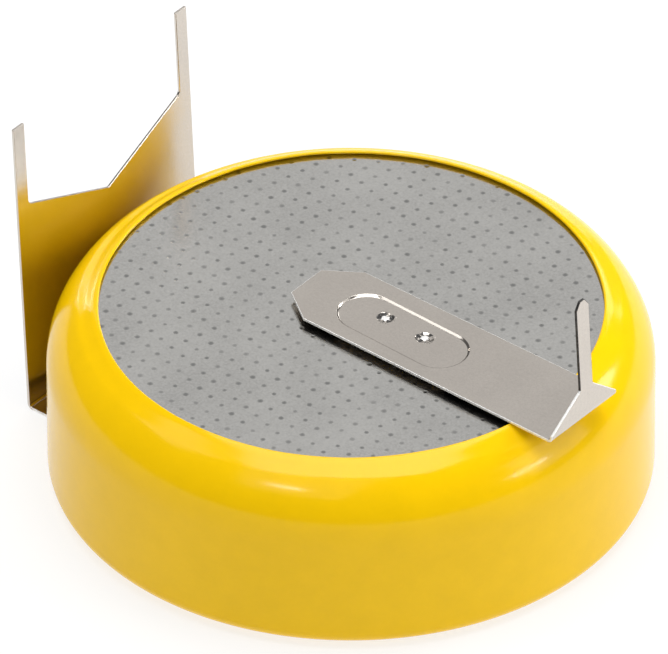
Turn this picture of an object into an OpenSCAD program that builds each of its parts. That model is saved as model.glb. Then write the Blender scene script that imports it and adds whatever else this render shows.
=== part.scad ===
// Lithium coin cell with solder tabs: a crimped steel can and cap with the cell stack inside,
// a shrunk plastic sleeve, and a welded tab on each pole. Millimetres, +Z up.
// The origin is on the cell's axis, in the plane that the part rests on.
// The negative tab points along +X and the positive tab stands at -X.

/* [Can] */
// Diameter of the steel can
cell_d = 24.5; // [22:0.1:28]
// Height of the bare cell, from the can's bottom to the cap's flat top
cell_h = 7.7; // [7:0.1:9]
// Thickness of the sheet that the can is drawn from
can_t = 0.25; // [0.2:0.01:0.3]
// Outer radius of the can's bottom corner
can_corner_r = 0.5; // [0.4:0.05:1]
// Outer radius of the shoulder that the can's rim is crimped to
crimp_r = 3.05; // [2.6:0.05:3.6]
// Angle from upright at which the crimped rim ends
crimp_end = 45; // [43:1:50]

/* [Cap] */
// Thickness of the sheet that the cap is pressed from
cap_t = 0.25; // [0.2:0.01:0.3]
// Width of the rim between the can's outside and the cap's raised top
rim_w = 1.5; // [1.5:0.05:1.7]
// Outer radius of the raised top's corner
cap_corner_r = 0.35; // [0.31:0.01:0.5]
// Gap between that corner and the film over it
cap_film_gap = 0.019; // [0.01:0.001:0.03]
// Height of the fold that doubles the foot of the cap's skirt
hem_h = 1.5; // [0.8:0.1:2.5]

/* [Gasket] */
// Thickness of the gasket between the can and the cap
gasket_t = 0.35; // [0.3:0.01:0.45]
// Thickness of the gasket's foot under the cap's skirt
foot_t = 0.6; // [0.4:0.05:1]
// Height of the gasket's inner lip above the can's inner floor
lip_h = 1.9; // [1.3:0.1:3]
// Angle from upright at which the gasket ends, a little past the crimp
gasket_end = 40; // [40:1:43]

/* [Cell stack] */
// Height of the manganese dioxide pellet
cathode_h = 4.95; // [3.5:0.05:5.2]
// Thickness of the separator
separator_t = 0.25; // [0.1:0.05:0.4]
// Length of the separator's turned-down rim
separator_rim = 0.8; // [0.4:0.1:1.5]
// Thickness of the steel ring that holds the pellet
ring_t = 0.15; // [0.1:0.01:0.25]
// Height of that ring
ring_h = 1.8; // [1:0.1:2.8]
// Width of the ring's inward foot
ring_foot = 2.2; // [1:0.1:4]
// Gap round the pieces of the stack
stack_gap = 0.1; // [0.05:0.01:0.15]

/* [Sleeve] */
// Thickness of the shrunk plastic film
film_t = 0.13; // [0.08:0.01:0.18]
// Gap between the film and the can
film_gap = 0.02; // [0.01:0.01:0.04]
// Width of the sleeve's shoulder, from its outside to the edge of its upper opening
lip_w = 2.1; // [2:0.05:2.4]
// Slope of the film where it ends above the cap
lip_slope = 21; // [18:1:24]
// Width of the film turned in under the can
under_w = 2.1; // [1.2:0.1:3]

/* [Tab strips] */
// Thickness of the nickel-plated sheet of both tabs
sheet_t = 0.12; // [0.1:0.01:0.2]
// Inner radius of the tabs' bends
bend_r = 0.15; // [0.1:0.01:0.3]
// Width of both tabs' strips
strip_w = 4; // [3.6:0.1:5]
// Reach of the strips past the cell's axis
strip_over = 2.2; // [1.8:0.1:3.5]
// Width of the strips' narrowed end
strip_end_w = 1.95; // [1:0.05:3]
// Length over which the end narrows
strip_end_l = 1.5; // [0.5:0.1:2]
// Length of the pocket pressed into each strip
pocket_l = 6.2; // [4.5:0.1:7]
// Width of that pocket
pocket_w = 2.4; // [1.8:0.1:2.8]
// Distance between the two weld marks
weld_pitch = 2.06; // [1.5:0.01:3]
// Diameter of a weld mark
weld_d = 0.85; // [0.5:0.05:1.2]
// Depth of a weld mark
weld_depth = 0.05; // [0.02:0.01:0.08]

/* [Negative tab] */
// Distance that the upright stands in from the sleeve's outside
upright_inset = 0.1; // [0:0.05:1]
// Distance from the cell's axis to the middle of the pocket
negative_pocket_x = 3; // [2.5:0.05:5]
// Gap between the strip and the sleeve's lip
strip_gap = 0.02; // [0.01:0.01:0.1]
// Width of the solder pin
negative_pin_w = 0.8; // [0.5:0.05:1.2]
// Height above the bend at which the upright starts to narrow
gusset_z = 0.1; // [0.05:0.05:0.5]
// Height above the bend at which it has the pin's width
gusset_h = 1.2; // [0.8:0.1:2.5]
// Radius in the corner between the upright and its pin
gusset_r = 0.2; // [0.1:0.05:0.4]
// Width cut from each side of the pin's tip
tip_cut_w = 0.26; // [0.1:0.01:0.35]
// Height over which the pin's tip narrows
tip_cut_h = 0.35; // [0.1:0.05:0.8]
// Lean of the upright towards the cell
negative_lean = 3; // [0:0.25:6]

/* [Positive tab] */
// Distance between the two solder pins, centre to centre
pin_pitch = 10.16; // [8:0.01:12]
// Width of each of these pins
positive_pin_w = 0.65; // [0.5:0.05:1]
// Gap between the sleeve and the upright plate
plate_gap = 0.1; // [0.05:0.05:1]
// Distance from the cell's axis to the middle of the pocket
positive_pocket_x = 3.6; // [3.3:0.05:5]
// Length of the foot that has the plate's full width
foot_l = 4.5; // [2:0.1:6]
// Angle of the foot's sides where it narrows to the strip
foot_taper = 45; // [30:1:60]
// Height of the notch's lowest point above the resting plane
notch_z = 7.9; // [5:0.1:9]
// Slope of the notch's two sides
notch_slope = 23; // [5:1:30]
// Radius in the corners between the notch and the pins
notch_r = 0.3; // [0.1:0.05:0.8]
// Lean of the plate away from the cell
positive_lean = 2.75; // [0:0.25:5]

/* [Pins] */
// Height of the pins' tips above the resting plane
pin_top_z = 13.9; // [12.5:0.1:20]

/* [Hidden] */
$fn = 120;

// Distance that a cut runs past the face it starts from
past = 1;

// Radii from the cell's axis
can_r = cell_d / 2;
crimp_c = can_r - crimp_r;
top_r = can_r - rim_w;
skirt_r = can_r - can_t - gasket_t;
cap_crimp_r = crimp_r - can_t - gasket_t;
hem_r = skirt_r - 2 * cap_t;
gasket_in_r = hem_r - gasket_t;
stack_r = gasket_in_r - stack_gap;
pellet_r = stack_r - ring_t;
anode_r = top_r - cap_t - 2 * stack_gap;

// The shoulder's centre lies as far below the cap's flat top as lets the film, which runs
// round that centre, clear the cap's corner.
corner_r = top_r - cap_corner_r;
corner_reach = crimp_r + film_gap - cap_film_gap - cap_corner_r;
crimp_drop = cap_corner_r + sqrt(corner_reach * corner_reach - (corner_r - crimp_c) * (corner_r - crimp_c));

// Heights above the resting plane
base_z = sheet_t + film_t + film_gap;
cap_z = base_z + cell_h;
crimp_z = cap_z - crimp_drop;
floor_z = base_z + can_t;
foot_z = floor_z + foot_t;

// The sleeve, outside and inside
film_in = film_gap;
film_out = film_gap + film_t;
sleeve_r = can_r + film_out;
lip_r = sleeve_r - lip_w;
lip_start_r = crimp_c + (crimp_r + film_out) * sin(lip_slope);
lip_start_z = crimp_z + (crimp_r + film_out) * cos(lip_slope);
lip_z = lip_start_z + (lip_start_r - lip_r) * tan(lip_slope);

// The tabs
strip_z = lip_z + strip_gap;
upright_x = sleeve_r - upright_inset;
plate_x = sleeve_r + plate_gap + sheet_t;

// Half-section of a round vessel, filled from its axis to its wall, with a rounded bottom
// corner and a shoulder curved in at the top. grow is the offset from the can's outside.
module vessel(grow) {
    corner = can_corner_r + grow;
    shoulder = crimp_r + grow;
    translate([0, base_z - grow]) square([can_r - can_corner_r, corner]);
    translate([can_r - can_corner_r, base_z + can_corner_r]) circle(corner);
    translate([0, base_z + can_corner_r])
        square([can_r + grow, crimp_z - base_z - can_corner_r]);
    translate([crimp_c, crimp_z]) circle(shoulder);
    translate([0, crimp_z]) square([crimp_c, shoulder]);
}

// The part of a half-section that lies above the shoulder's centre and inside a line
// drawn from it at an angle from upright
module mouth(angle) {
    reach = cell_h;
    polygon([
        [0, crimp_z],
        [crimp_c, crimp_z],
        [crimp_c + reach * sin(angle), crimp_z + reach * cos(angle)],
        [0, crimp_z + reach]
    ]);
}

// Half-section of the space under the cap's outer or inner surface
module cap_space(thick) {
    translate([0, foot_z + cap_t]) square([skirt_r - thick, crimp_z - foot_z - cap_t]);
    intersection() {
        translate([crimp_c, crimp_z]) circle(cap_crimp_r - thick);
        translate([0, crimp_z]) square([can_r, crimp_r]);
    }
    translate([0, crimp_z]) square([crimp_c, cap_crimp_r - thick]);
    translate([0, crimp_z]) square([top_r - thick, crimp_drop - cap_corner_r]);
    translate([corner_r, cap_z - cap_corner_r]) circle(cap_corner_r - thick);
    translate([0, crimp_z]) square([corner_r, crimp_drop - thick]);
}

// Half-section of the doubled foot of the cap's skirt
module hem() {
    translate([hem_r, foot_z + cap_t]) square([2 * cap_t, hem_h - cap_t]);
    translate([hem_r + cap_t, foot_z + cap_t]) circle(cap_t);
}

module can() {
    color([0.80, 0.80, 0.78])
    rotate_extrude()
    difference() {
        vessel(0);
        vessel(-can_t);
        mouth(crimp_end);
    }
}

module cap() {
    color([0.69, 0.69, 0.67])
    rotate_extrude() {
        difference() {
            cap_space(0);
            cap_space(cap_t);
        }
        hem();
    }
}

module gasket() {
    color([0.20, 0.22, 0.26])
    rotate_extrude() {
        difference() {
            vessel(-can_t);
            mouth(gasket_end);
            cap_space(0);
            hem();
            square([gasket_in_r, cap_z]);
        }
        translate([gasket_in_r, foot_z]) square([gasket_t, floor_z + lip_h - foot_z]);
    }
}

module cathode_ring() {
    color([0.72, 0.72, 0.70])
    translate([0, 0, floor_z])
    difference() {
        cylinder(h = ring_h, r = stack_r);
        translate([0, 0, ring_t]) cylinder(h = ring_h, r = pellet_r);
        translate([0, 0, -past]) cylinder(h = ring_h, r = pellet_r - ring_foot);
    }
}

module cathode() {
    color([0.13, 0.13, 0.13])
    translate([0, 0, floor_z]) {
        cylinder(h = cathode_h, r = pellet_r - ring_foot);
        translate([0, 0, ring_t]) cylinder(h = cathode_h - ring_t, r = pellet_r);
    }
}

module separator() {
    color([0.93, 0.93, 0.90])
    translate([0, 0, floor_z + cathode_h - separator_rim])
    difference() {
        cylinder(h = separator_rim + separator_t, r = pellet_r + separator_t);
        translate([0, 0, -past]) cylinder(h = separator_rim + past, r = pellet_r);
    }
}

module anode() {
    under = floor_z + cathode_h + separator_t;
    color([0.78, 0.79, 0.80])
    translate([0, 0, under]) cylinder(h = cap_z - cap_t - under, r = anode_r);
}

// Half-section of the space inside the film's outer or inner surface. The shoulder's curve
// runs on straight towards the axis, at the slope of the lip.
module sleeve_space(grow) {
    reach = crimp_r + grow;
    start = crimp_c + reach * sin(lip_slope);
    vessel(grow);
    translate([0, crimp_z])
        polygon([
            [0, 0],
            [crimp_c, 0],
            [start, reach * cos(lip_slope)],
            [0, reach * cos(lip_slope) + start * tan(lip_slope)]
        ]);
}

module sleeve() {
    color([0.98, 0.80, 0.05])
    rotate_extrude()
    difference() {
        sleeve_space(film_out);
        sleeve_space(film_in);
        square([sleeve_r - under_w, crimp_z]);
        translate([0, crimp_z]) square([lip_r, cell_h]);
    }
}

// Outline with two straight sides and round ends
module slot(l, w) {
    square([l - w, w], center = true);
    for (side = [-1, 1]) translate([side * (l - w) / 2, 0]) circle(w / 2);
}

// Outline with two like sides, from the points of one side and the middle line between them
module two_sided(side) {
    polygon(concat(side, [for (i = [len(side) - 1:-1:0]) [side[i].x, -side[i].y]]));
}

// Distance from a corner to the ends of its rounding, where one edge runs straight up and the
// other runs down at a slope from level
function corner_run(slope, r) = r / tan((90 + slope) / 2);

// Side view of a strip and its upright, filled from the bend's inner side out to a surface of
// the sheet. The bend's centre is at the origin.
module bend_space(r, length, height, lean) {
    upright = r * [cos(lean), sin(lean)];
    rise = height * [-sin(lean), cos(lean)];
    circle(r);
    polygon([[-length, -r], [0, -r], upright, upright + rise, rise, [-length, 0]]);
}

// A strip that lies flat with its underside at strip_under, a bend, and an upright whose
// outer face starts at reach. The children are the tab's outline from above, and what is cut
// from the upright.
module bent_tab(strip_under, reach, lean) {
    outer_r = bend_r + sheet_t;
    length = reach + strip_over;
    height = (pin_top_z - strip_under - outer_r) / cos(lean);
    bend_centre = [reach - outer_r, 0, strip_under + outer_r];
    difference() {
        intersection() {
            translate(bend_centre)
                rotate([90, 0, 0])
                linear_extrude(cell_d, center = true)
                difference() {
                    bend_space(outer_r, length, height, lean);
                    bend_space(bend_r, length + past, height + past, lean);
                }
            translate([0, 0, -past]) linear_extrude(pin_top_z + 2 * past) children(0);
        }
        translate(bend_centre)
            rotate([0, -lean, 0])
            translate([bend_r - past, 0, 0])
            rotate([90, 0, 90])
            linear_extrude(sheet_t + 2 * past)
            children(1);
    }
}

// Two shallow round marks on a face at a height, centred on a place along the strip
module weld_marks(x, z, side) {
    ball_r = (weld_d * weld_d / 4 + weld_depth * weld_depth) / (2 * weld_depth);
    for (mark = [-1, 1])
        translate([x + mark * weld_pitch / 2, 0, z + side * (ball_r - weld_depth)])
        rotate([90, 0, 0])
        sphere(ball_r);
}

// What is cut from one side of the negative tab's upright, to leave its gusset and pin
module beside_pin(height) {
    half_pin = negative_pin_w / 2;
    slope = atan((gusset_h - gusset_z) / (strip_w / 2 - half_pin));
    run = corner_run(slope, gusset_r);
    outside = strip_w / 2 + past;
    polygon([
        [outside, gusset_z - past * tan(slope)],
        [half_pin + run * cos(slope), gusset_h - run * sin(slope)],
        [half_pin, gusset_h + run],
        [half_pin, height - tip_cut_h],
        [half_pin - tip_cut_w * (tip_cut_h + past) / tip_cut_h, height + past],
        [outside, height + past]
    ]);
    translate([half_pin + gusset_r, gusset_h + run]) circle(gusset_r);
}

module negative_tab() {
    pin_l = (pin_top_z - strip_z - sheet_t - bend_r) / cos(negative_lean);
    color([0.76, 0.73, 0.70])
    difference() {
        union() {
            bent_tab(strip_z, upright_x, negative_lean) {
                two_sided([
                    [-strip_over, strip_end_w / 2],
                    [strip_end_l - strip_over, strip_w / 2],
                    [upright_x + past, strip_w / 2]
                ]);
                union() {
                    beside_pin(pin_l);
                    mirror([1, 0]) beside_pin(pin_l);
                }
            }
            translate([negative_pocket_x, 0, cap_z])
                linear_extrude(strip_z - cap_z + sheet_t / 2)
                slot(pocket_l + 2 * sheet_t, pocket_w + 2 * sheet_t);
        }
        translate([negative_pocket_x, 0, cap_z + sheet_t])
            linear_extrude(strip_z - cap_z + past)
            slot(pocket_l, pocket_w);
        weld_marks(negative_pocket_x, cap_z + sheet_t, 1);
    }
}

// What is cut from the positive plate between its pins, down to the notch
module between_pins(height) {
    notch = (notch_z - sheet_t - bend_r) / cos(positive_lean);
    half_gap = (pin_pitch - positive_pin_w) / 2;
    corner = [half_gap, notch + half_gap * tan(notch_slope)];
    run = corner_run(notch_slope, notch_r);
    rotate(90)
        two_sided([
            [notch, 0],
            [corner.y - run * sin(notch_slope), run * cos(notch_slope) - corner.x],
            [corner.y + run, -corner.x],
            [height + past, -corner.x]
        ]);
    for (side = [-1, 1]) translate([side * (corner.x - notch_r), corner.y + run]) circle(notch_r);
}

module positive_tab() {
    pin_l = (pin_top_z - sheet_t - bend_r) / cos(positive_lean);
    plate_w = pin_pitch + positive_pin_w;
    foot_x = plate_x - sheet_t - bend_r - foot_l;
    color([0.76, 0.73, 0.70])
    mirror([1, 0, 0])
    difference() {
        union() {
            bent_tab(0, plate_x, -positive_lean) {
                two_sided([
                    [-strip_over, strip_end_w / 2],
                    [strip_end_l - strip_over, strip_w / 2],
                    [foot_x - (plate_w - strip_w) / 2 / tan(foot_taper), strip_w / 2],
                    [foot_x, plate_w / 2],
                    [plate_x + past, plate_w / 2]
                ]);
                between_pins(pin_l);
            }
            translate([positive_pocket_x, 0, sheet_t / 2])
                linear_extrude(base_z - sheet_t / 2)
                slot(pocket_l + 2 * sheet_t, pocket_w + 2 * sheet_t);
        }
        translate([positive_pocket_x, 0, -past])
            linear_extrude(past + base_z - sheet_t)
            slot(pocket_l, pocket_w);
        weld_marks(positive_pocket_x, base_z - sheet_t, -1);
    }
}

can();
cap();
gasket();
cathode_ring();
cathode();
separator();
anode();
sleeve();
positive_tab();
negative_tab();
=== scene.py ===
import bpy
import math
import random
from mathutils import Matrix, Vector, noise
from mathutils.geometry import delaunay_2d_cdt


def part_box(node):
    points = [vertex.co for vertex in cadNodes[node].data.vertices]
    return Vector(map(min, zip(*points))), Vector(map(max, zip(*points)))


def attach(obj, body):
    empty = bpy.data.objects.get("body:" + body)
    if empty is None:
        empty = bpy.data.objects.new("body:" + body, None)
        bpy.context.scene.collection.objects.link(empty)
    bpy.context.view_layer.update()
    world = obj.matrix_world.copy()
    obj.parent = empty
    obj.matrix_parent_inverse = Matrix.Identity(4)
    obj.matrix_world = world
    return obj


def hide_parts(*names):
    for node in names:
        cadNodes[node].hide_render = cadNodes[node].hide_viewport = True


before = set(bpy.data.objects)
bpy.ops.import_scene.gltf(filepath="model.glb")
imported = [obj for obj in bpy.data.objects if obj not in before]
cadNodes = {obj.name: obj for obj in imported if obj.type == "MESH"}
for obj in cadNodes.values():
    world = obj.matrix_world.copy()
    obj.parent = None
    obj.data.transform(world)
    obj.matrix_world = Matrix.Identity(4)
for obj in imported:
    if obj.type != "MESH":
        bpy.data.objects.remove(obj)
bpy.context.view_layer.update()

mm = 0.001


# Camera at the photograph's angle

viewSet = {
    "imageWide": 668,  # pixels
    "focal": 20000,  # pixels
    "sensorWide": 36.0,  # mm
    "nearest": 0.05,  # m
    "farthest": 20.0,  # m
    "turn": 39.2,  # degrees round the cell, from its -Y side
    "rise": 37.121,  # degrees above the horizon
    "roll": -0.1035,  # degrees
    "place": (409.0, -502.57, 497.36),  # mm
}


def makeCamera():
    data = bpy.data.cameras.new("photoCamera")
    data.sensor_width = viewSet["sensorWide"]
    data.lens = viewSet["focal"] * viewSet["sensorWide"] / viewSet["imageWide"]
    data.clip_start = viewSet["nearest"]
    data.clip_end = viewSet["farthest"]
    camera = bpy.data.objects.new("photoCamera", data)
    bpy.context.scene.collection.objects.link(camera)
    turned = Matrix.Rotation(math.radians(viewSet["turn"]), 4, "Z")
    tipped = Matrix.Rotation(math.radians(90 - viewSet["rise"]), 4, "X")
    rolled = Matrix.Rotation(math.radians(viewSet["roll"]), 4, "Z")
    place = Matrix.Translation(Vector(viewSet["place"]) * mm)
    camera.matrix_world = place @ turned @ tipped @ rolled
    bpy.context.scene.camera = camera


makeCamera()
print("camera set")


# Finishes. In each one's values, sizes and depths are in millimetres, tint holds the shares
# of the colour at its darkest and palest, and span holds the noise values of those two.

def startFinish(name, colour, metal=0.0):
    finish = bpy.data.materials.new(name)
    finish.use_nodes = True
    tree = finish.node_tree
    shader = tree.nodes["Principled BSDF"]
    shader.inputs["Base Color"].default_value = (*colour, 1)
    shader.inputs["Metallic"].default_value = metal
    return finish, tree, shader


def inMillimetres(tree):
    # Positions in the part's own frame, scaled so that texture sizes are in millimetres
    spot = tree.nodes.new("ShaderNodeTexCoord")
    scaled = tree.nodes.new("ShaderNodeVectorMath")
    scaled.operation = "SCALE"
    scaled.inputs["Scale"].default_value = 1 / mm
    tree.links.new(spot.outputs["Object"], scaled.inputs[0])
    return scaled.outputs["Vector"]


def stretched(tree, place, stretch):
    pulled = tree.nodes.new("ShaderNodeVectorMath")
    pulled.operation = "MULTIPLY"
    pulled.inputs[1].default_value = stretch
    tree.links.new(place, pulled.inputs[0])
    return pulled.outputs["Vector"]


def cloud(tree, place, size, detail=2.0, mix=0.5):
    # Noise whose lumps are about size millimetres
    made = tree.nodes.new("ShaderNodeTexNoise")
    made.inputs["Scale"].default_value = 1 / size
    made.inputs["Detail"].default_value = detail
    made.inputs["Roughness"].default_value = mix
    tree.links.new(place, made.inputs["Vector"])
    return made.outputs["Fac"]


def spread(tree, value, low, high, fromLow=0.3, fromHigh=0.7):
    made = tree.nodes.new("ShaderNodeMapRange")
    made.inputs["From Min"].default_value = fromLow
    made.inputs["From Max"].default_value = fromHigh
    made.inputs["To Min"].default_value = low
    made.inputs["To Max"].default_value = high
    tree.links.new(value, made.inputs["Value"])
    return made.outputs["Result"]


def tinted(colour, by):
    return tuple(min(1.0, part * by) for part in colour)


def shades(tree, value, look):
    # A look's darkest to palest colour over its span of the value
    colours = look.get("colours") or [tinted(look["colour"], by) for by in look["tint"]]
    ramp = tree.nodes.new("ShaderNodeValToRGB")
    for number in (0, 1):
        stop = ramp.color_ramp.elements[number]
        stop.position = look["span"][number]
        stop.color = (*colours[number], 1)
    tree.links.new(value, ramp.inputs["Fac"])
    return ramp.outputs["Color"]


def sumOf(tree, first, second, share):
    # first plus share of second
    made = tree.nodes.new("ShaderNodeMath")
    made.operation = "MULTIPLY_ADD"
    made.inputs[1].default_value = share
    tree.links.new(second, made.inputs[0])
    tree.links.new(first, made.inputs[2])
    return made.outputs["Value"]


def colourBy(tree, shader, value):
    tree.links.new(value, shader.inputs["Base Color"])


def roughBy(tree, shader, value):
    tree.links.new(value, shader.inputs["Roughness"])


def bumpBy(tree, shader, height, depth):
    # depth is the height in millimetres that a change of 1 stands for
    bump = tree.nodes.new("ShaderNodeBump")
    bump.inputs["Strength"].default_value = 1.0
    bump.inputs["Distance"].default_value = depth * mm
    tree.links.new(height, bump.inputs["Height"])
    tree.links.new(bump.outputs["Normal"], shader.inputs["Normal"])


sleeveLook = {
    "colour": (0.98, 0.60, 0.0008),
    "tint": (0.97, 1.015),
    "span": (0.45, 0.9),
    "rough": (0.12, 0.17),
    "gloss": 0.24,
    "mottleSize": 1.3,
    "speckSize": 0.25,
    "speckShare": 0.35,
    "dullSize": 2.2,
    "peelSize": 0.35,
    "peelDepth": 0.0012,
    "waveSize": 4.0,
    "waveDepth": 0.006,
}


def sleeveFilm():
    look = sleeveLook
    finish, tree, shader = startFinish("sleeveFilm", look["colour"])
    place = inMillimetres(tree)
    speck = cloud(tree, place, look["speckSize"], 2)
    mottle = sumOf(tree, cloud(tree, place, look["mottleSize"], 4), speck, look["speckShare"])
    colourBy(tree, shader, shades(tree, mottle, look))
    roughBy(tree, shader, spread(tree, cloud(tree, place, look["dullSize"], 3), *look["rough"]))
    shader.inputs["Specular IOR Level"].default_value = look["gloss"]
    wave = cloud(tree, place, look["waveSize"], 1)
    peel = cloud(tree, place, look["peelSize"], 2)
    height = sumOf(tree, wave, peel, look["peelDepth"] / look["waveDepth"])
    bumpBy(tree, shader, height, look["waveDepth"])
    return finish


capLook = {
    "colour": (0.61, 0.60, 0.575),
    "tint": (0.86, 1.1),
    "span": (0.55, 1.0),
    "rough": (0.15, 0.19),
    "grainSize": 0.09,
    "grainDepth": 0.0016,
    "stainSize": 3.5,
    "stainShare": 0.6,
    "dullSize": 1.6,
    # Painted shade: the dots' hollows are darkened, standing in for the shade that falls in them
    "pitShadeColour": (0.29, 0.29, 0.28),
    "pitFull": 0.011,  # depth below the top where a dot has its full painted shade
    "pitBand": 0.1,  # depth below the top where the dots' painted shade ends
}


def capSteel(topZ):
    look = capLook
    finish, tree, shader = startFinish("capSteel", look["colour"], 1.0)
    place = inMillimetres(tree)
    grain = cloud(tree, place, look["grainSize"], 3, 0.6)
    stain = cloud(tree, place, look["stainSize"], 3)
    plain = shades(tree, sumOf(tree, grain, stain, look["stainShare"]), look)
    # Painted shade: each dot is darkened towards its bottom, within a thin band under the top
    height = tree.nodes.new("ShaderNodeSeparateXYZ")
    tree.links.new(place, height.inputs[0])
    bandZ = topZ - look["pitBand"]
    pit = spread(tree, height.outputs["Z"], 1.0, 0.0, topZ - look["pitFull"], topZ)
    onTop = spread(tree, height.outputs["Z"], 0.0, 1.0, bandZ - 0.001, bandZ)
    dark = tree.nodes.new("ShaderNodeMath")
    dark.operation = "MULTIPLY"
    tree.links.new(pit, dark.inputs[0])
    tree.links.new(onTop, dark.inputs[1])
    both = tree.nodes.new("ShaderNodeMix")
    both.data_type = "RGBA"
    both.inputs["B"].default_value = (*look["pitShadeColour"], 1)
    tree.links.new(dark.outputs["Value"], both.inputs["Factor"])
    tree.links.new(plain, both.inputs["A"])
    colourBy(tree, shader, both.outputs["Result"])
    roughBy(tree, shader, spread(tree, cloud(tree, place, look["dullSize"], 3), *look["rough"]))
    bumpBy(tree, shader, grain, look["grainDepth"])
    return finish


tabLook = {
    "colour": (0.648, 0.597, 0.541),
    "tint": (0.95, 1.04),
    "span": (0.6, 1.0),
    "rough": (0.15, 0.22),
    "grainSize": 0.08,
    "grainStretch": (0.8, 1.0, 0.8),
    "grainDepth": 0.0008,
    "stainSize": 2.6,
    "stainShare": 0.6,
}


def tabNickel():
    look = tabLook
    finish, tree, shader = startFinish("tabNickel", look["colour"], 1.0)
    place = inMillimetres(tree)
    grain = cloud(tree, stretched(tree, place, look["grainStretch"]), look["grainSize"], 3, 0.6)
    stain = cloud(tree, place, look["stainSize"], 3)
    colourBy(tree, shader, shades(tree, sumOf(tree, grain, stain, look["stainShare"]), look))
    roughBy(tree, shader, spread(tree, stain, *look["rough"]))
    bumpBy(tree, shader, grain, look["grainDepth"])
    return finish


# Painted highlight: a finish paler than the plated faces, for the tabs' cut edges and the middles
# of the weld marks
edgeHighlightLook = {
    "colours": ((0.80, 0.79, 0.77), (0.97, 0.96, 0.94)),
    "span": (0.3, 0.6),
    "metal": 0.55,
    "rough": (0.36, 0.5),
    "grainSize": 0.05,
    "grainStretch": (1, 1, 0.3),
    "grainDepth": 0.002,
}


def edgeHighlight():
    look = edgeHighlightLook
    finish, tree, shader = startFinish("edgeHighlight", look["colours"][0], look["metal"])
    place = inMillimetres(tree)
    grain = cloud(tree, stretched(tree, place, look["grainStretch"]), look["grainSize"], 2)
    colourBy(tree, shader, shades(tree, grain, look))
    roughBy(tree, shader, spread(tree, grain, *look["rough"]))
    bumpBy(tree, shader, grain, look["grainDepth"])
    return finish


# Painted shade: the dark arcs at the weld marks, standing in for the dark reflections of their
# sloped rims, and the dark cut edges of the negative tab's pin
paintedShadeLook = {
    "colours": ((0.015, 0.013, 0.012), (0.09, 0.087, 0.083)),
    "span": (0.35, 0.7),
    "metal": 0.4,
    "rough": (0.3, 0.55),
    "blotchSize": 0.08,
    "blotchDepth": 0.004,
}


def paintedShade():
    look = paintedShadeLook
    finish, tree, shader = startFinish("paintedShade", look["colours"][0], look["metal"])
    blotch = cloud(tree, inMillimetres(tree), look["blotchSize"], 3, 0.6)
    colourBy(tree, shader, shades(tree, blotch, look))
    roughBy(tree, shader, spread(tree, blotch, *look["rough"]))
    bumpBy(tree, shader, blotch, look["blotchDepth"])
    return finish


# Drawn can and rolled ring, with fine grain and a faint stain
canLook = {
    "colour": (0.62, 0.62, 0.60),
    "tint": (0.92, 1.05),
    "span": (0.55, 1.0),
    "rough": (0.22, 0.32),
    "grainSize": 0.2,
    "grainDepth": 0.001,
    "stainSize": 3.0,
    "stainShare": 0.6,
}
ringLook = {
    "colour": (0.50, 0.50, 0.49),
    "tint": (0.92, 1.05),
    "span": (0.55, 1.0),
    "rough": (0.35, 0.5),
    "grainSize": 0.15,
    "grainDepth": 0.001,
    "stainSize": 3.0,
    "stainShare": 0.6,
}


def plainSteel(name, look):
    finish, tree, shader = startFinish(name, look["colour"], 1.0)
    place = inMillimetres(tree)
    grain = cloud(tree, place, look["grainSize"], 3, 0.6)
    stain = cloud(tree, place, look["stainSize"], 3)
    colourBy(tree, shader, shades(tree, sumOf(tree, grain, stain, look["stainShare"]), look))
    roughBy(tree, shader, spread(tree, stain, *look["rough"]))
    bumpBy(tree, shader, grain, look["grainDepth"])
    return finish


gasketLook = {
    "colour": (0.035, 0.040, 0.052),
    "tint": (0.8, 1.3),
    "span": (0.3, 0.7),
    "rough": (0.42, 0.58),
    "flowSize": 0.9,
    "grainSize": 0.1,
    "grainDepth": 0.002,
}


def gasketPlastic():
    look = gasketLook
    finish, tree, shader = startFinish("gasketPlastic", look["colour"])
    place = inMillimetres(tree)
    flow = cloud(tree, place, look["flowSize"], 3)
    colourBy(tree, shader, shades(tree, flow, look))
    roughBy(tree, shader, spread(tree, flow, *look["rough"]))
    bumpBy(tree, shader, cloud(tree, place, look["grainSize"], 2), look["grainDepth"])
    return finish


pelletLook = {
    "colours": ((0.008, 0.008, 0.008), (0.03, 0.029, 0.027)),
    "span": (0.3, 0.7),
    "rough": (0.7, 0.95),
    "grainSize": 0.06,
    "grainDepth": 0.012,
}


def pelletPowder():
    look = pelletLook
    finish, tree, shader = startFinish("pelletPowder", look["colours"][0])
    grain = cloud(tree, inMillimetres(tree), look["grainSize"], 3, 0.7)
    colourBy(tree, shader, shades(tree, grain, look))
    roughBy(tree, shader, spread(tree, grain, *look["rough"]))
    bumpBy(tree, shader, grain, look["grainDepth"])
    return finish


separatorLook = {
    "colours": ((0.70, 0.70, 0.66), (0.87, 0.87, 0.84)),
    "span": (0.75, 1.0),
    "rough": (0.82, 0.95),
    "roughSpan": (0.7, 1.3),
    "sheen": 0.2,
    "strandSize": 0.4,
    "strandStretches": ((1, 6, 3), (6, 1, 3)),
    "strandDepth": 0.02,
}


def separatorCloth():
    look = separatorLook
    finish, tree, shader = startFinish("separatorCloth", look["colours"][0])
    place = inMillimetres(tree)
    ways = [cloud(tree, stretched(tree, place, stretch), look["strandSize"], 3)
            for stretch in look["strandStretches"]]
    strands = sumOf(tree, *ways, 1.0)
    colourBy(tree, shader, shades(tree, strands, look))
    roughBy(tree, shader, spread(tree, strands, *look["rough"], *look["roughSpan"]))
    shader.inputs["Sheen Weight"].default_value = look["sheen"]
    bumpBy(tree, shader, strands, look["strandDepth"])
    return finish


lithiumLook = {
    "colour": (0.56, 0.57, 0.59),
    "tint": (0.75, 1.1),
    "span": (0.3, 0.7),
    "rough": (0.42, 0.65),
    "dullSize": 1.5,
    "dentSize": 0.3,
    "dentDepth": 0.006,
}


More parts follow.
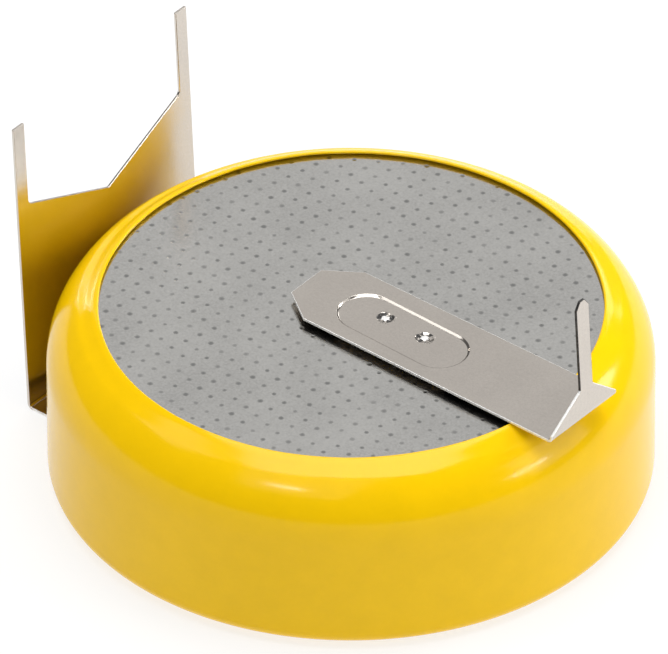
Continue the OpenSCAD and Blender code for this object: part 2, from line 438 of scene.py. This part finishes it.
def lithiumMetal():
    look = lithiumLook
    finish, tree, shader = startFinish("lithiumMetal", look["colour"], 1.0)
    place = inMillimetres(tree)
    dull = cloud(tree, place, look["dullSize"], 5, 0.6)
    colourBy(tree, shader, shades(tree, dull, look))
    roughBy(tree, shader, spread(tree, dull, *look["rough"]))
    bumpBy(tree, shader, cloud(tree, place, look["dentSize"], 3), look["dentDepth"])
    return finish


def dress(piece, finish):
    piece.data.materials.clear()
    piece.data.materials.append(finish)


filmFinish = sleeveFilm()
tabFinish = tabNickel()
edgeHighlightFinish = edgeHighlight()
paintedShadeFinish = paintedShade()
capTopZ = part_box("cap")[1].z / mm
capFinish = capSteel(capTopZ)

dress(cadNodes["can"], plainSteel("canSteel", canLook))
dress(cadNodes["gasket"], gasketPlastic())
dress(cadNodes["cathode_ring"], plainSteel("ringSteel", ringLook))
dress(cadNodes["cathode"], pelletPowder())
dress(cadNodes["separator"], separatorCloth())
dress(cadNodes["anode"], lithiumMetal())
print("finishes made")


# Mesh helpers

def meshPiece(name, points, faces, finish, node):
    # A piece that stands for one CAD node, from points in millimetres
    made = bpy.data.meshes.new(name)
    made.from_pydata([Vector(point) * mm for point in points], [], faces)
    made.validate()
    made.update()
    piece = bpy.data.objects.new(name, made)
    bpy.context.scene.collection.objects.link(piece)
    dress(piece, finish)
    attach(piece, "root")
    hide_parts(node)
    return piece


def smoothUnder(piece, degrees):
    # Smooth shading that lets each corner follow its larger faces, so that flats stay flat
    made = piece.data
    made.shade_smooth()
    limit = math.cos(math.radians(degrees))
    ways = [face.normal.copy() for face in made.polygons]
    pulls = [face.normal * (face.area / (mm * mm)) for face in made.polygons]
    around = [[] for _ in made.vertices]
    for face in made.polygons:
        for corner in face.vertices:
            around[corner].append(face.index)
    normals = []
    for face in made.polygons:
        own = ways[face.index]
        for corner in face.vertices:
            near = [pulls[other] for other in around[corner] if ways[other].dot(own) > limit]
            normals.append(sum(near, Vector((0, 0, 0))).normalized())
    made.normals_split_custom_set(normals)


def arc(centre, radius, start, end, steps):
    # Points on an arc, with angles in degrees from level
    turns = [math.radians(start + (end - start) * step / steps) for step in range(steps + 1)]
    return [(centre[0] + radius * math.cos(turn), centre[1] + radius * math.sin(turn))
            for turn in turns]


def ringPoints(radius, height, count):
    turns = [2 * math.pi * step / count for step in range(count)]
    return [(radius * math.cos(turn), radius * math.sin(turn), height) for turn in turns]


def bandFaces(first, second, count):
    # Quads between two rings of count points, from their first indexes
    return [(first + step, first + (step + 1) % count, second + (step + 1) % count, second + step)
            for step in range(count)]


def loopEdges(first, count):
    return [(first + step, first + (step + 1) % count) for step in range(count)]


def flip(face):
    return tuple(reversed(face))


def isInside(spot, outline):
    inside = False
    before = outline[-1]
    for here in outline:
        if (here[1] > spot[1]) != (before[1] > spot[1]):
            lean = (before[0] - here[0]) / (before[1] - here[1])
            if spot[0] < here[0] + (spot[1] - here[1]) * lean:
                inside = not inside
        before = here
    return inside


farCorners = ((-60, -60), (60, -60), (60, 60), (-60, 60))  # mm, well outside each flat face


def triangles(flat, edges, outline):
    # Triangles inside the outline, as indexes of the given points
    spots = [Vector(point) for point in (*flat, *farCorners)]
    made = delaunay_2d_cdt(spots, edges, [], 0, 1e-7, True)
    kept = []
    for face in made[2]:
        middle = sum((made[0][corner] for corner in face), Vector((0, 0))) / 3
        if isInside(middle, outline):
            kept.append([made[3][corner][0] for corner in face])
    return kept


# Negative cap, with a square lattice of small pressed dots on its top

capSet = {
    "segments": 240,
    "flatR": 10.4,  # mm, here and below
    "cornerR": 0.35,
    "wall": 0.25,
    "shoulder": (9.2, 5.20),  # middle of the shoulder's arcs
    "shoulderR": 2.45,
    "outerMeets": 50.75,  # degrees, where the shoulder meets the flat top's corner
    "innerMeets": 53.8,
    "wallR": 11.65,  # mm, here and below
    "wallStep": 0.5,
    "hem": (11.40, 1.37),  # middle of the hem's fold
    "hemInside": ((11.15, 2.60), (11.17, 2.62), (11.38, 2.62), (11.40, 2.66), (11.40, 5.20)),
    "pitch": 0.71327,
    "turn": 76.1317,  # degrees
    "phase": (0.58212, 0.06396),  # parts of the pitch
    "reach": 10.22,  # mm, here and below
    "pitR": (0.11, 0.15),
    "pitDepth": (0.007, 0.014),
    "wander": 0.012,
    "pitSides": 12,
    "pitRings": ((1.0, 0.0), (0.7, 0.5), (0.4, 0.85)),  # shares of its radius and of its depth
    "pitUneven": 0.16,  # share of its radius
    "pitRipple": (3, 3, 0.8),  # how fast that changes along x, along y and round the dot
    "seed": 11,
    "smoothUnder": 28,  # degrees
}


def pitPlaces():
    # Middle, radius and depth of each dot
    look = capSet
    chance = random.Random(look["seed"])
    turn = math.radians(look["turn"])
    places = []
    reach = int(look["reach"] / look["pitch"]) + 2
    for row in range(-reach, reach):
        for column in range(-reach, reach):
            along = (row + look["phase"][0]) * look["pitch"]
            across = (column + look["phase"][1]) * look["pitch"]
            x = along * math.cos(turn) - across * math.sin(turn) + chance.gauss(0, look["wander"])
            y = along * math.sin(turn) + across * math.cos(turn) + chance.gauss(0, look["wander"])
            pit = (x, y, chance.uniform(*look["pitR"]), chance.uniform(*look["pitDepth"]))
            if math.hypot(x, y) < look["reach"]:
                places.append(pit)
    return places


def capProfile(top):
    # From the edge of the flat top, down the outside, round the hem and back up the inside
    look = capSet
    wall, corner = look["wall"], look["cornerR"]
    cornerMiddle = (look["flatR"], top - corner)
    shoulder, outerR = look["shoulder"], look["shoulderR"]
    profile = arc(cornerMiddle, corner, 90, 0, 8)
    profile += arc(shoulder, outerR, look["outerMeets"], 0, 16)
    profile += [(look["wallR"], look["hem"][1] + look["wallStep"] * step)
                for step in range(7, 0, -1)]
    profile += arc(look["hem"], wall, 0, -180, 10)
    profile += look["hemInside"]
    profile += arc(shoulder, outerR - wall, 0, look["innerMeets"], 16)[1:]
    profile += arc(cornerMiddle, corner - wall, 0, 90, 4)
    return profile


def makeCap():
    look = capSet
    count = look["segments"]
    top = capTopZ
    points, faces = [], []
    profile = capProfile(top)
    for radius, height in profile:
        points += ringPoints(radius, height, count)
    for ring in range(len(profile) - 1):
        faces += bandFaces((ring + 1) * count, ring * count, count)
    under = (len(profile) - 1) * count
    faces.append([under + step for step in reversed(range(count))])
    flat = [point[:2] for point in points[:count]]
    owner = list(range(count))
    pitOf = {}
    edges = loopEdges(0, count)
    sides = look["pitSides"]
    acrossX, acrossY, aroundIt = look["pitRipple"]
    for number, (x, y, radius, depth) in enumerate(pitPlaces()):
        first = len(points)
        edges += loopEdges(len(flat), sides)
        for share, sink in look["pitRings"]:
            for step in range(sides):
                turn = 2 * math.pi * step / sides
                lump = noise.noise(Vector((x * acrossX, y * acrossY, step * aroundIt)))
                reach = radius * share * (1 + look["pitUneven"] * lump)
                points.append((x + reach * math.cos(turn), y + reach * math.sin(turn),
                               top - depth * sink))
        points.append((x, y, top - depth))
        for rim in range(first, first + sides):
            flat.append(points[rim][:2])
            owner.append(rim)
            pitOf[rim] = number
        last = first + (len(look["pitRings"]) - 1) * sides
        for ring in range(first, last, sides):
            faces += bandFaces(ring, ring + sides, sides)
        middle = last + sides
        faces += [(middle, last + step, last + (step + 1) % sides) for step in range(sides)]
    for face in triangles(flat, edges, flat[:count]):
        corners = [owner[corner] for corner in face]
        inPit = {pitOf.get(corner) for corner in corners}
        if None in inPit or len(inPit) > 1:
            faces.append(corners)
    piece = meshPiece("negativeCap", points, faces, capFinish, "cap")
    smoothUnder(piece, look["smoothUnder"])


makeCap()
print("cap made")


# Sleeve: shrunk film with its edges over the cap and under the can

sleeveSet = {
    "segments": 300,
    "film": 0.13,  # mm, here and below
    "lipR": 10.30,
    "underR": (10.30, 11.0, 11.5),
    "underZ": (0.12, 0.25),  # outside and inside of the film under the can
    "foot": (11.75, 0.77),  # middle of the arcs at the can's foot
    "footR": (0.648, 0.52),  # outside and inside, here and below
    "wallR": (12.398, 12.27),
    "shoulder": (9.2, 5.20),  # middle of the shoulder's arcs
    "shoulderR": (3.198, 3.07),
    "shoulderEnd": 69,  # degrees
    "lipSlope": 21,  # degrees
    "dipSide": 160,  # degrees, where the ridge stands out most
    "dipLeast": 0.25,  # share of its depth on the opposite side
    "dip": 0.09,  # mm, here and below
    "dipFrom": 11.25,
    "dipTo": 10.42,
    "lipWander": 0.035,
    "lipQuick": 0.4,  # share of the quick waves in it
    "lipFade": (11.1, 0.8),  # mm, radius where the wander starts, and its way to full size
    "lipSink": 0.012,  # mm
    "hemWander": 0.105,  # mm
    "hemQuick": 0.5,
    "hemFade": (11.3, 0.9),
    "slowWaves": 1.7,  # how fast the waves change round the cell, here and below
    "quickWaves": 7,
    "sinkWaves": 4,
    "smoothUnder": 40,  # degrees
}


def sleeveProfile():
    # Radius, height and share of the dip. The outside dips a little behind the lip's own edge,
    # which leaves a low ridge there.
    look = sleeveSet
    film, foot, shoulder = look["film"], look["foot"], look["shoulder"]
    wallHigh = shoulder[1] - foot[1]
    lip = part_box("sleeve")[1].z / mm
    slope = math.radians(look["lipSlope"])
    outer = [(radius, look["underZ"][0]) for radius in look["underR"]]
    outer += arc(foot, look["footR"][0], -90, 0, 10)
    outer += [(look["wallR"][0], foot[1] + wallHigh * step / 12) for step in range(1, 12)]
    outer = [(radius, height, 0.0) for radius, height in outer]
    for radius, height in arc(shoulder, look["shoulderR"][0], 0, look["shoulderEnd"], 60):
        along = (look["dipFrom"] - radius) / (look["dipFrom"] - look["dipTo"])
        groove = math.sin(math.pi * along) ** 2 if 0 < along < 1 else 0.0
        outer.append((radius, height, groove))
    lipPoint = Vector((look["lipR"], lip))
    outward = Vector((math.cos(slope), -math.sin(slope)))
    inward = Vector((-math.sin(slope), -math.cos(slope)))
    edgeRound = []
    for turn in range(0, 181, 20):
        swing = math.radians(turn)
        across = outward * (1 - math.sin(swing)) + inward * (1 - math.cos(swing))
        spot = lipPoint + across * film / 2
        edgeRound.append((spot.x, spot.y))
    inner = arc(shoulder, look["shoulderR"][1], look["shoulderEnd"], 0, 30)
    inner += [(look["wallR"][1], foot[1])]
    inner += arc(foot, look["footR"][1], 0, -90, 8)[1:]
    inner += [(look["underR"][0], look["underZ"][1])]
    return outer + [(radius, height, 0.0) for radius, height in edgeRound + inner]


def fadeIn(radius, fade):
    # From 0 at the fade's start to 1 further in
    return max(0.0, min(1.0, (fade[0] - radius) / fade[1]))


def makeSleeve():
    look = sleeveSet
    profile = sleeveProfile()
    count = look["segments"]
    points, faces = [], []
    side = math.radians(look["dipSide"])
    deepest = Vector((math.cos(side), math.sin(side), 0))
    least = look["dipLeast"]
    slowPlace, quickPlace = Vector((3, 1, 0)), Vector((0, 4, 2))
    for radius, height, groove in profile:
        nearLip = fadeIn(radius, look["lipFade"]) if height > look["shoulder"][1] else 0.0
        nearHem = fadeIn(radius, look["hemFade"]) if height < look["foot"][1] else 0.0
        for step in range(count):
            turn = 2 * math.pi * step / count
            spot = Vector((math.cos(turn), math.sin(turn), 0))
            slow = noise.noise(spot * look["slowWaves"] + slowPlace)
            quick = noise.noise(spot * look["quickWaves"] + quickPlace)
            shift = look["lipWander"] * (slow + look["lipQuick"] * quick) * nearLip
            under = look["hemWander"] * (slow + look["hemQuick"] * quick) * nearHem
            sink = look["lipSink"] * (noise.noise(spot * look["sinkWaves"]) - 1) * nearLip
            reach = radius + shift + under
            dip = look["dip"] * groove * (least + (1 - least) * max(0.0, spot.dot(deepest)))
            points.append((reach * spot.x, reach * spot.y, height + sink - dip))
    rings = len(profile)
    for ring in range(rings):
        faces += bandFaces(ring * count, (ring + 1) % rings * count, count)
    piece = meshPiece("sleeveFilm", points, faces, filmFinish, "sleeve")
    smoothUnder(piece, look["smoothUnder"])


makeSleeve()
print("sleeve made")


# Tabs: one flat layout each, with u along the strip and v across it, bent up into place

tabSet = {
    "sheet": 0.12,  # mm, here and below
    "bendR": 0.15,
    "edge": 0.03,
    "step": 0.4,
    "leastStep": 0.03,
    "bendRows": 12,
    "pinTop": 13.895,
    "pinBend": 0.27,  # from the strip's underside to the bend's inside
    "cornerR": 0.06,
    "tightR": 0.045,
    "smallR": 0.1,  # corners under this get fewer steps
    "cornerSteps": (5, 10),
    "smoothUnder": 50,  # degrees
    # Steps of a pressed wall: distance outside its edge, and share of its depth
    "wallSteps": ((0.055, 0.0), (0.04, 0.10), (0.015, 0.36),
                  (-0.015, 0.66), (-0.045, 0.93), (-0.065, 1.0)),
    # Rings of a weld mark: radius, and height of its surface
    "weldRings": ((0.46, 0.0), (0.41, 0.006), (0.36, 0.024), (0.32, 0.008),
                  (0.27, -0.028), (0.21, -0.03), (0.14, -0.012), (0.07, -0.004)),
    "weldSides": 26,
    "weldUneven": (0.35, 0.9),  # shares of its radius and of its height
    "weldBright": 0.17,  # mm, radius of the middle with the painted highlight
    "weldDark": 0.36,  # mm, radius that the painted dark arcs reach
    "arcWay": (0.8, 0.6),  # direction of the two painted dark arcs from the middle
    "arcRagged": 1.1,
    "arcFrom": 0.55,
}
platedFace, highlightFace, paintedShadeFace = 0, 1, 2  # a tab's material slots


def roundedOutline(corners, stops):
    # Corners are (u, v, radius). Points are also set wherever an edge passes one of the stops.
    path = []
    total = len(corners)
    for number, (u, v, radius) in enumerate(corners):
        here = Vector((u, v))
        back = (Vector(corners[number - 1][:2]) - here).normalized()
        ahead = (Vector(corners[(number + 1) % total][:2]) - here).normalized()
        half = math.acos(max(-1.0, min(1.0, back.dot(ahead)))) / 2
        middle = here + (back + ahead).normalized() * radius / math.sin(half)
        start = here + back * radius / math.tan(half) - middle
        steps = tabSet["cornerSteps"][0 if radius < tabSet["smallR"] else 1]
        swing = math.pi - 2 * half
        sign = 1 if back.x * ahead.y - back.y * ahead.x < 0 else -1
        for step in range(steps + 1):
            turned = Matrix.Rotation(sign * swing * step / steps, 2) @ start
            path.append(middle + turned)
    full = []
    for number, here in enumerate(path):
        full.append(here)
        gap = path[(number + 1) % len(path)] - here
        parts = int(gap.length / tabSet["step"] + 1)
        passed = [(stop - here.x) / gap.x for stop in stops if abs(gap.x) > 1e-6]
        passed = [share for share in passed if 1e-4 < share < 1 - 1e-4]
        least = tabSet["leastStep"]
        cuts = [step / parts for step in range(1, parts)]
        cuts = [share for share in cuts
                if all(abs(share - other) * gap.length > least for other in passed)]
        full += [here + gap * share for share in sorted(cuts + passed)]
    return full


def insetBy(outline, depth):
    moved = []
    for number, here in enumerate(outline):
        first = (here - outline[number - 1]).normalized()
        second = (outline[(number + 1) % len(outline)] - here).normalized()
        inFirst, inSecond = Vector((-first.y, first.x)), Vector((-second.y, second.x))
        moved.append(here + (inFirst + inSecond) * depth / (1 + inFirst.dot(inSecond)))
    return moved


def slotLoop(ends, radius, steps=20):
    # Closed loop round a line between two ends
    line = (ends[1] - ends[0]).normalized()
    start = math.atan2(line.y, line.x)
    loop = []
    for end, turned in ((ends[1], -0.5), (ends[0], 0.5)):
        for step in range(steps + 1):
            turn = start + math.pi * (turned + step / steps)
            loop.append(end + radius * Vector((math.cos(turn), math.sin(turn))))
    return loop


def layoutSide(inset, rows, pocketEnds, pocketR, depth, welds, weldSign, seed):
    # One side of the sheet: flat points, their heights, and the edges that must be kept
    flat = list(inset)
    heights = [0.0] * len(inset)
    edges = loopEdges(0, len(inset))
    for stop in rows:
        near = [number for number in range(len(inset)) if abs(inset[number].x - stop) < 3e-3]
        near.sort(key=lambda number: inset[number].y)
        edges.append((near[0], near[-1]))
    for offset, share in tabSet["wallSteps"]:
        loop = slotLoop(pocketEnds, pocketR + offset)
        edges += loopEdges(len(flat), len(loop))
        flat += loop
        heights += [depth * share] * len(loop)
    sides = tabSet["weldSides"]
    wide, tall = tabSet["weldUneven"]
    for number, middle in enumerate(welds):
        own = seed + 5 * number
        for ring, (radius, rise) in enumerate(tabSet["weldRings"]):
            edges += loopEdges(len(flat), sides)
            for step in range(sides):
                turn = 2 * math.pi * step / sides
                way = Vector((math.cos(turn), math.sin(turn)))
                lump = noise.noise(Vector((way.x * 1.5, way.y * 1.5, own)))
                reach = radius * (1 + wide * lump)
                flat.append(middle + Vector((way.x * reach, way.y * reach)))
                swell = noise.noise(Vector((way.x * 2, way.y * 2, own + 3 + ring * 0.3)))
                heights.append(depth + weldSign * rise * (1 + tall * swell))
        flat.append(middle)
        heights.append(depth)
    return flat, heights, edges


def weldKind(spot, welds, seed):
    # Finish at a weld mark: broken dark arcs at its two sides, painted shade standing in for the
    # dark reflections of its rims, and a bright middle, a painted highlight
    arcX, arcY = tabSet["arcWay"]
    for number, middle in enumerate(welds):
        away = spot - middle
        if away.length < tabSet["weldBright"]:
            return highlightFace
        if away.length < tabSet["weldDark"]:
            way = away.normalized()
            ripple = Vector((way.x * 2.2, way.y * 2.2, seed + 9 * number + 2 * away.length))
            facing = abs(way.x * arcX + way.y * arcY)
            isDark = facing + tabSet["arcRagged"] * noise.noise(ripple) > tabSet["arcFrom"]
            return paintedShadeFace if isDark else platedFace
    return platedFace


def makeTab(name, node, part, corners, zUnder, isFar):
    # part is the tab's dictionary. The far tab stands at -X and its pocket opens downwards.
    look = tabSet
    half = look["sheet"] / 2
    midR = look["bendR"] + half
    bendStart = part["bendStart"]
    endTurn = math.radians(90 + part["lean"])
    bendLength = midR * endTurn
    centre = (bendStart, zUnder + half + midR)
    rows = [bendStart + bendLength * step / look["bendRows"]
            for step in range(look["bendRows"] + 1)]
    outline = roundedOutline(corners(bendStart + bendLength), rows)

    def placed(spot, height):
        # height is measured from the middle of the sheet, towards the inside of the bend
        along = spot.x - bendStart
        turn = max(0.0, min(along / midR, endTurn))
        beyond = max(0.0, along - bendLength)
        across, rise = math.cos(turn), math.sin(turn)
        x = centre[0] + (midR - height) * rise + beyond * across + min(0.0, along)
        z = centre[1] - (midR - height) * across + beyond * rise
        return (-x if isFar else x, spot.y, z)

    points, faces, kinds = [], [], []
    count = len(outline)
    edge = look["edge"]
    turns = [math.pi / 8 * step for step in range(5)]
    curve = [(edge * (1 - math.sin(turn)), half - edge * (1 - math.cos(turn))) for turn in turns]
    rings = curve + [(offset, -height) for offset, height in reversed(curve)]
    for offset, height in rings:
        points += [placed(spot, height) for spot in insetBy(outline, offset)]
    # Cut edges up to paleEdgeTo are paler, a painted highlight; beyond it the negative tab's pin
    # edges are darkened as painted shade, and the positive tab's keep the plated finish
    beyondPale = platedFace if isFar else paintedShadeFace
    for ring in range(len(rings) - 1):
        faces += bandFaces((ring + 1) * count, ring * count, count)
        kinds += [highlightFace if spot.x < part["paleEdgeTo"] else beyondPale for spot in outline]

    inset = insetBy(outline, edge)
    pocketEnds = [Vector(end) for end in part["pocketEnds"]]
    welds = [Vector(weld) for weld in part["welds"]]
    seed = part["seed"]
    sinkSide = -1 if isFar else 1
    for side in (1, -1):
        isSunk = side == sinkSide
        if isSunk:
            marks, pocketR, depth = welds, part["pocketR"], part["pocketSunk"]
        else:
            marks, pocketR, depth = [], part["pocketR"] + look["sheet"], part["pocketDepth"]
        flat, heights, edges = layoutSide(inset, rows, pocketEnds, pocketR, depth, marks,
                                          sinkSide, seed)
        firstRing = 0 if side > 0 else (len(rings) - 1) * count
        first = len(points)
        points += [placed(spot, side * half + height)
                   for spot, height in zip(flat[count:], heights[count:])]
        index = [firstRing + number for number in range(count)]
        index += [first + number for number in range(len(flat) - count)]
        for face in triangles(flat, edges, inset):
            corner = [index[number] for number in face]
            faces.append(tuple(corner) if side > 0 else flip(corner))
            middle = sum((flat[number] for number in face), Vector((0, 0))) / 3
            kinds.append(weldKind(middle, marks, seed))
    if isFar:
        faces = [flip(face) for face in faces]
    piece = meshPiece(name, points, faces, tabFinish, node)
    piece.data.materials.append(edgeHighlightFinish)
    piece.data.materials.append(paintedShadeFinish)
    for face, kind in zip(piece.data.polygons, kinds):
        face.material_index = kind
    smoothUnder(piece, look["smoothUnder"])


# Negative tab. The strip lies a little off the middle and a little turned, as on the real part.

negativeSet = {
    "stripUnder": 8.2255,  # mm, here and below
    "bendStart": 12.03,
    "lean": 4.0,  # degrees
    "end": -2.2,
    "endCut": 1.5,
    "endHalf": 0.975,
    "half": 2.0,
    "offset": -0.2165,
    "skew": -0.0165,  # mm sideways for each mm along
    "gussetLow": 0.04,
    "gussetHigh": 1.2,
    "gussetR": 0.2,
    "pinHalf": 0.4,
    "pinMiddle": 0.02,
    "tipMiddle": 0.06,
    "flapShift": (0.12, 0.26),
    "paleEdgeTo": 13.6,
    "tipCut": (0.26, 0.35),
    "pocketEnds": ((1.06, -0.27), (4.90, -0.36)),
    "pocketR": 1.2,
    "pocketDepth": -0.2555,
    "pocketSunk": -0.075,
    "welds": ((1.82, 0.0), (3.88, -0.04)),
    "seed": 7,
}


def negativeCorners(upright):
    look = negativeSet
    radius, tight = tabSet["cornerR"], tabSet["tightR"]
    straight = tabSet["pinTop"] - look["stripUnder"] - tabSet["pinBend"]
    tip = upright + straight / math.cos(math.radians(look["lean"]))

    def middle(u):
        return look["offset"] + look["skew"] * u

    low, high = upright + look["gussetLow"], upright + look["gussetHigh"]
    cutV, cutU = look["tipCut"]
    half, pin = look["half"], look["pinHalf"]
    endU = look["end"]
    turnU = endU + look["endCut"]
    pinY, tipY = look["pinMiddle"], look["tipMiddle"]
    edgeLow = middle(low)
    right = [
        (endU, middle(endU) - look["endHalf"], radius),
        (turnU, middle(turnU) - half, radius),
        (low, edgeLow - half + look["flapShift"][0], tight),
        (high, pinY - pin, look["gussetR"]),
        (tip - cutU, tipY - pin, radius),
        (tip, tipY - pin + cutV, tight),
    ]
    left = [
        (tip, tipY + pin - cutV, tight),
        (tip - cutU, tipY + pin, radius),
        (high, pinY + pin, look["gussetR"]),
        (low, edgeLow + half + look["flapShift"][1], tight),
        (turnU, middle(turnU) + half, radius),
        (endU, middle(endU) + look["endHalf"], radius),
    ]
    return right + left


# Positive tab: strip and foot under the can, and the notched plate with two pins

positiveSet = {
    "bendStart": 12.35,  # mm, here and below
    "paleEdgeTo": 12.35,
    "lean": -2.75,  # degrees
    "end": -2.2,
    "endCut": 1.5,
    "endHalf": 0.975,
    "half": 2.0,
    "footStart": 7.85,
    "taperStart": 4.445,
    "plateHalf": 5.51,
    "notch": (7.639, 9.657),
    "notchMiddle": 0.15,
    "notchTipR": 0.05,
    "notchR": 0.3,
    "pinInside": 4.84,
    "pocketEnds": ((1.7, 0.0), (5.5, 0.0)),
    "pocketR": 1.2,
    "pocketDepth": 0.15,
    "pocketSunk": 0.075,
    "welds": ((2.55, 0.12), (4.65, -0.05)),
    "seed": 31,
}


def positiveCorners(upright):
    look = positiveSet
    radius, tight = tabSet["cornerR"], tabSet["tightR"]
    straight = tabSet["pinTop"] - tabSet["pinBend"]
    tip = upright + straight / math.cos(math.radians(look["lean"]))
    vee, corner = look["notch"]
    side = [
        (look["end"], look["endHalf"], radius),
        (look["end"] + look["endCut"], look["half"], radius),
        (look["taperStart"], look["half"], radius),
        (look["footStart"], look["plateHalf"], radius),
        (tip, look["plateHalf"], tight),
        (tip, look["pinInside"], tight),
        (upright + corner, look["pinInside"], look["notchR"]),
    ]
    right = [(u, -v, radius) for u, v, radius in side]
    return right + [(upright + vee, look["notchMiddle"], look["notchTipR"])] + side[::-1]


makeTab("negativeTab", "negative_tab", negativeSet, negativeCorners, negativeSet["stripUnder"],
        False)
makeTab("positiveTab", "positive_tab", positiveSet, positiveCorners, 0.0, True)
print("tabs made")


# Floor and light

stageSet = {
    "floorSize": 4.0,  # m
    "floorSink": 0.02,  # mm under the part, so that the two don't share a plane
    "floorColour": (0.24, 0.24, 0.24),
    "floorRough": 0.9,
    "floorShine": 0.1,
    "floorGlow": 0.75,
    "roomLight": 0.12,
}

# Each soft box faces the origin. It has its middle in millimetres, its size in metres and the
# brightness of its face.
softBoxes = {
    "overhead": {"place": (-20, 30, 500), "size": (0.40, 0.40), "bright": 4.2},
    "back": {"place": (-480, 580, 520), "size": (0.9, 0.7), "bright": 0.54},
    "key": {"place": (234, 481, 272), "size": (0.17, 0.17), "bright": 9.0},
    "right": {"place": (480, 270, 240), "size": (0.30, 0.30), "bright": 2.0},
    "left": {"place": (-302, -214, 472), "size": (0.20, 0.20), "bright": 1.7},
    "streakFront": {"place": (78, -408, 432), "size": (0.11, 0.011), "bright": 62.0},
    "streakRight": {"place": (540, 165, 205), "size": (0.15, 0.02), "bright": 32.0},
    "low": {"place": (-130, 590, 250), "size": (0.22, 0.14), "bright": 3.0},
    "backRight": {"place": (400, 556, 585), "size": (0.45, 0.45), "bright": 0.8},
    "front": {"place": (90, -340, 480), "size": (0.36, 0.36), "bright": 0.9},
}


def makeFloor():
    half = stageSet["floorSize"] / 2
    low = -stageSet["floorSink"] * mm
    corners = [(-half, -half, low), (half, -half, low), (half, half, low), (-half, half, low)]
    made = bpy.data.meshes.new("floor")
    made.from_pydata(corners, [], [(0, 1, 2, 3)])
    floor = bpy.data.objects.new("floor", made)
    bpy.context.scene.collection.objects.link(floor)
    finish, _, shader = startFinish("floorPaper", stageSet["floorColour"])
    shader.inputs["Roughness"].default_value = stageSet["floorRough"]
    shader.inputs["Specular IOR Level"].default_value = stageSet["floorShine"]
    shader.inputs["Emission Color"].default_value = (1, 1, 1, 1)
    shader.inputs["Emission Strength"].default_value = stageSet["floorGlow"]
    dress(floor, finish)


def makeLights():
    for name, box in softBoxes.items():
        data = bpy.data.lights.new(name, "AREA")
        data.shape = "RECTANGLE"
        data.size, data.size_y = box["size"]
        data.energy = box["bright"] * math.pi * data.size * data.size_y
        lamp = bpy.data.objects.new(name, data)
        lamp.location = Vector(box["place"]) * mm
        lamp.rotation_euler = lamp.location.to_track_quat("Z", "Y").to_euler()
        bpy.context.scene.collection.objects.link(lamp)
    world = bpy.data.worlds.new("studio")
    world.use_nodes = True
    room = world.node_tree.nodes["Background"]
    room.inputs["Color"].default_value = (1, 1, 1, 1)
    room.inputs["Strength"].default_value = stageSet["roomLight"]
    bpy.context.scene.world = world
    bpy.context.scene.view_settings.view_transform = "Standard"
    bpy.context.scene.view_settings.look = "None"


makeFloor()
makeLights()
print("floor and lights set")
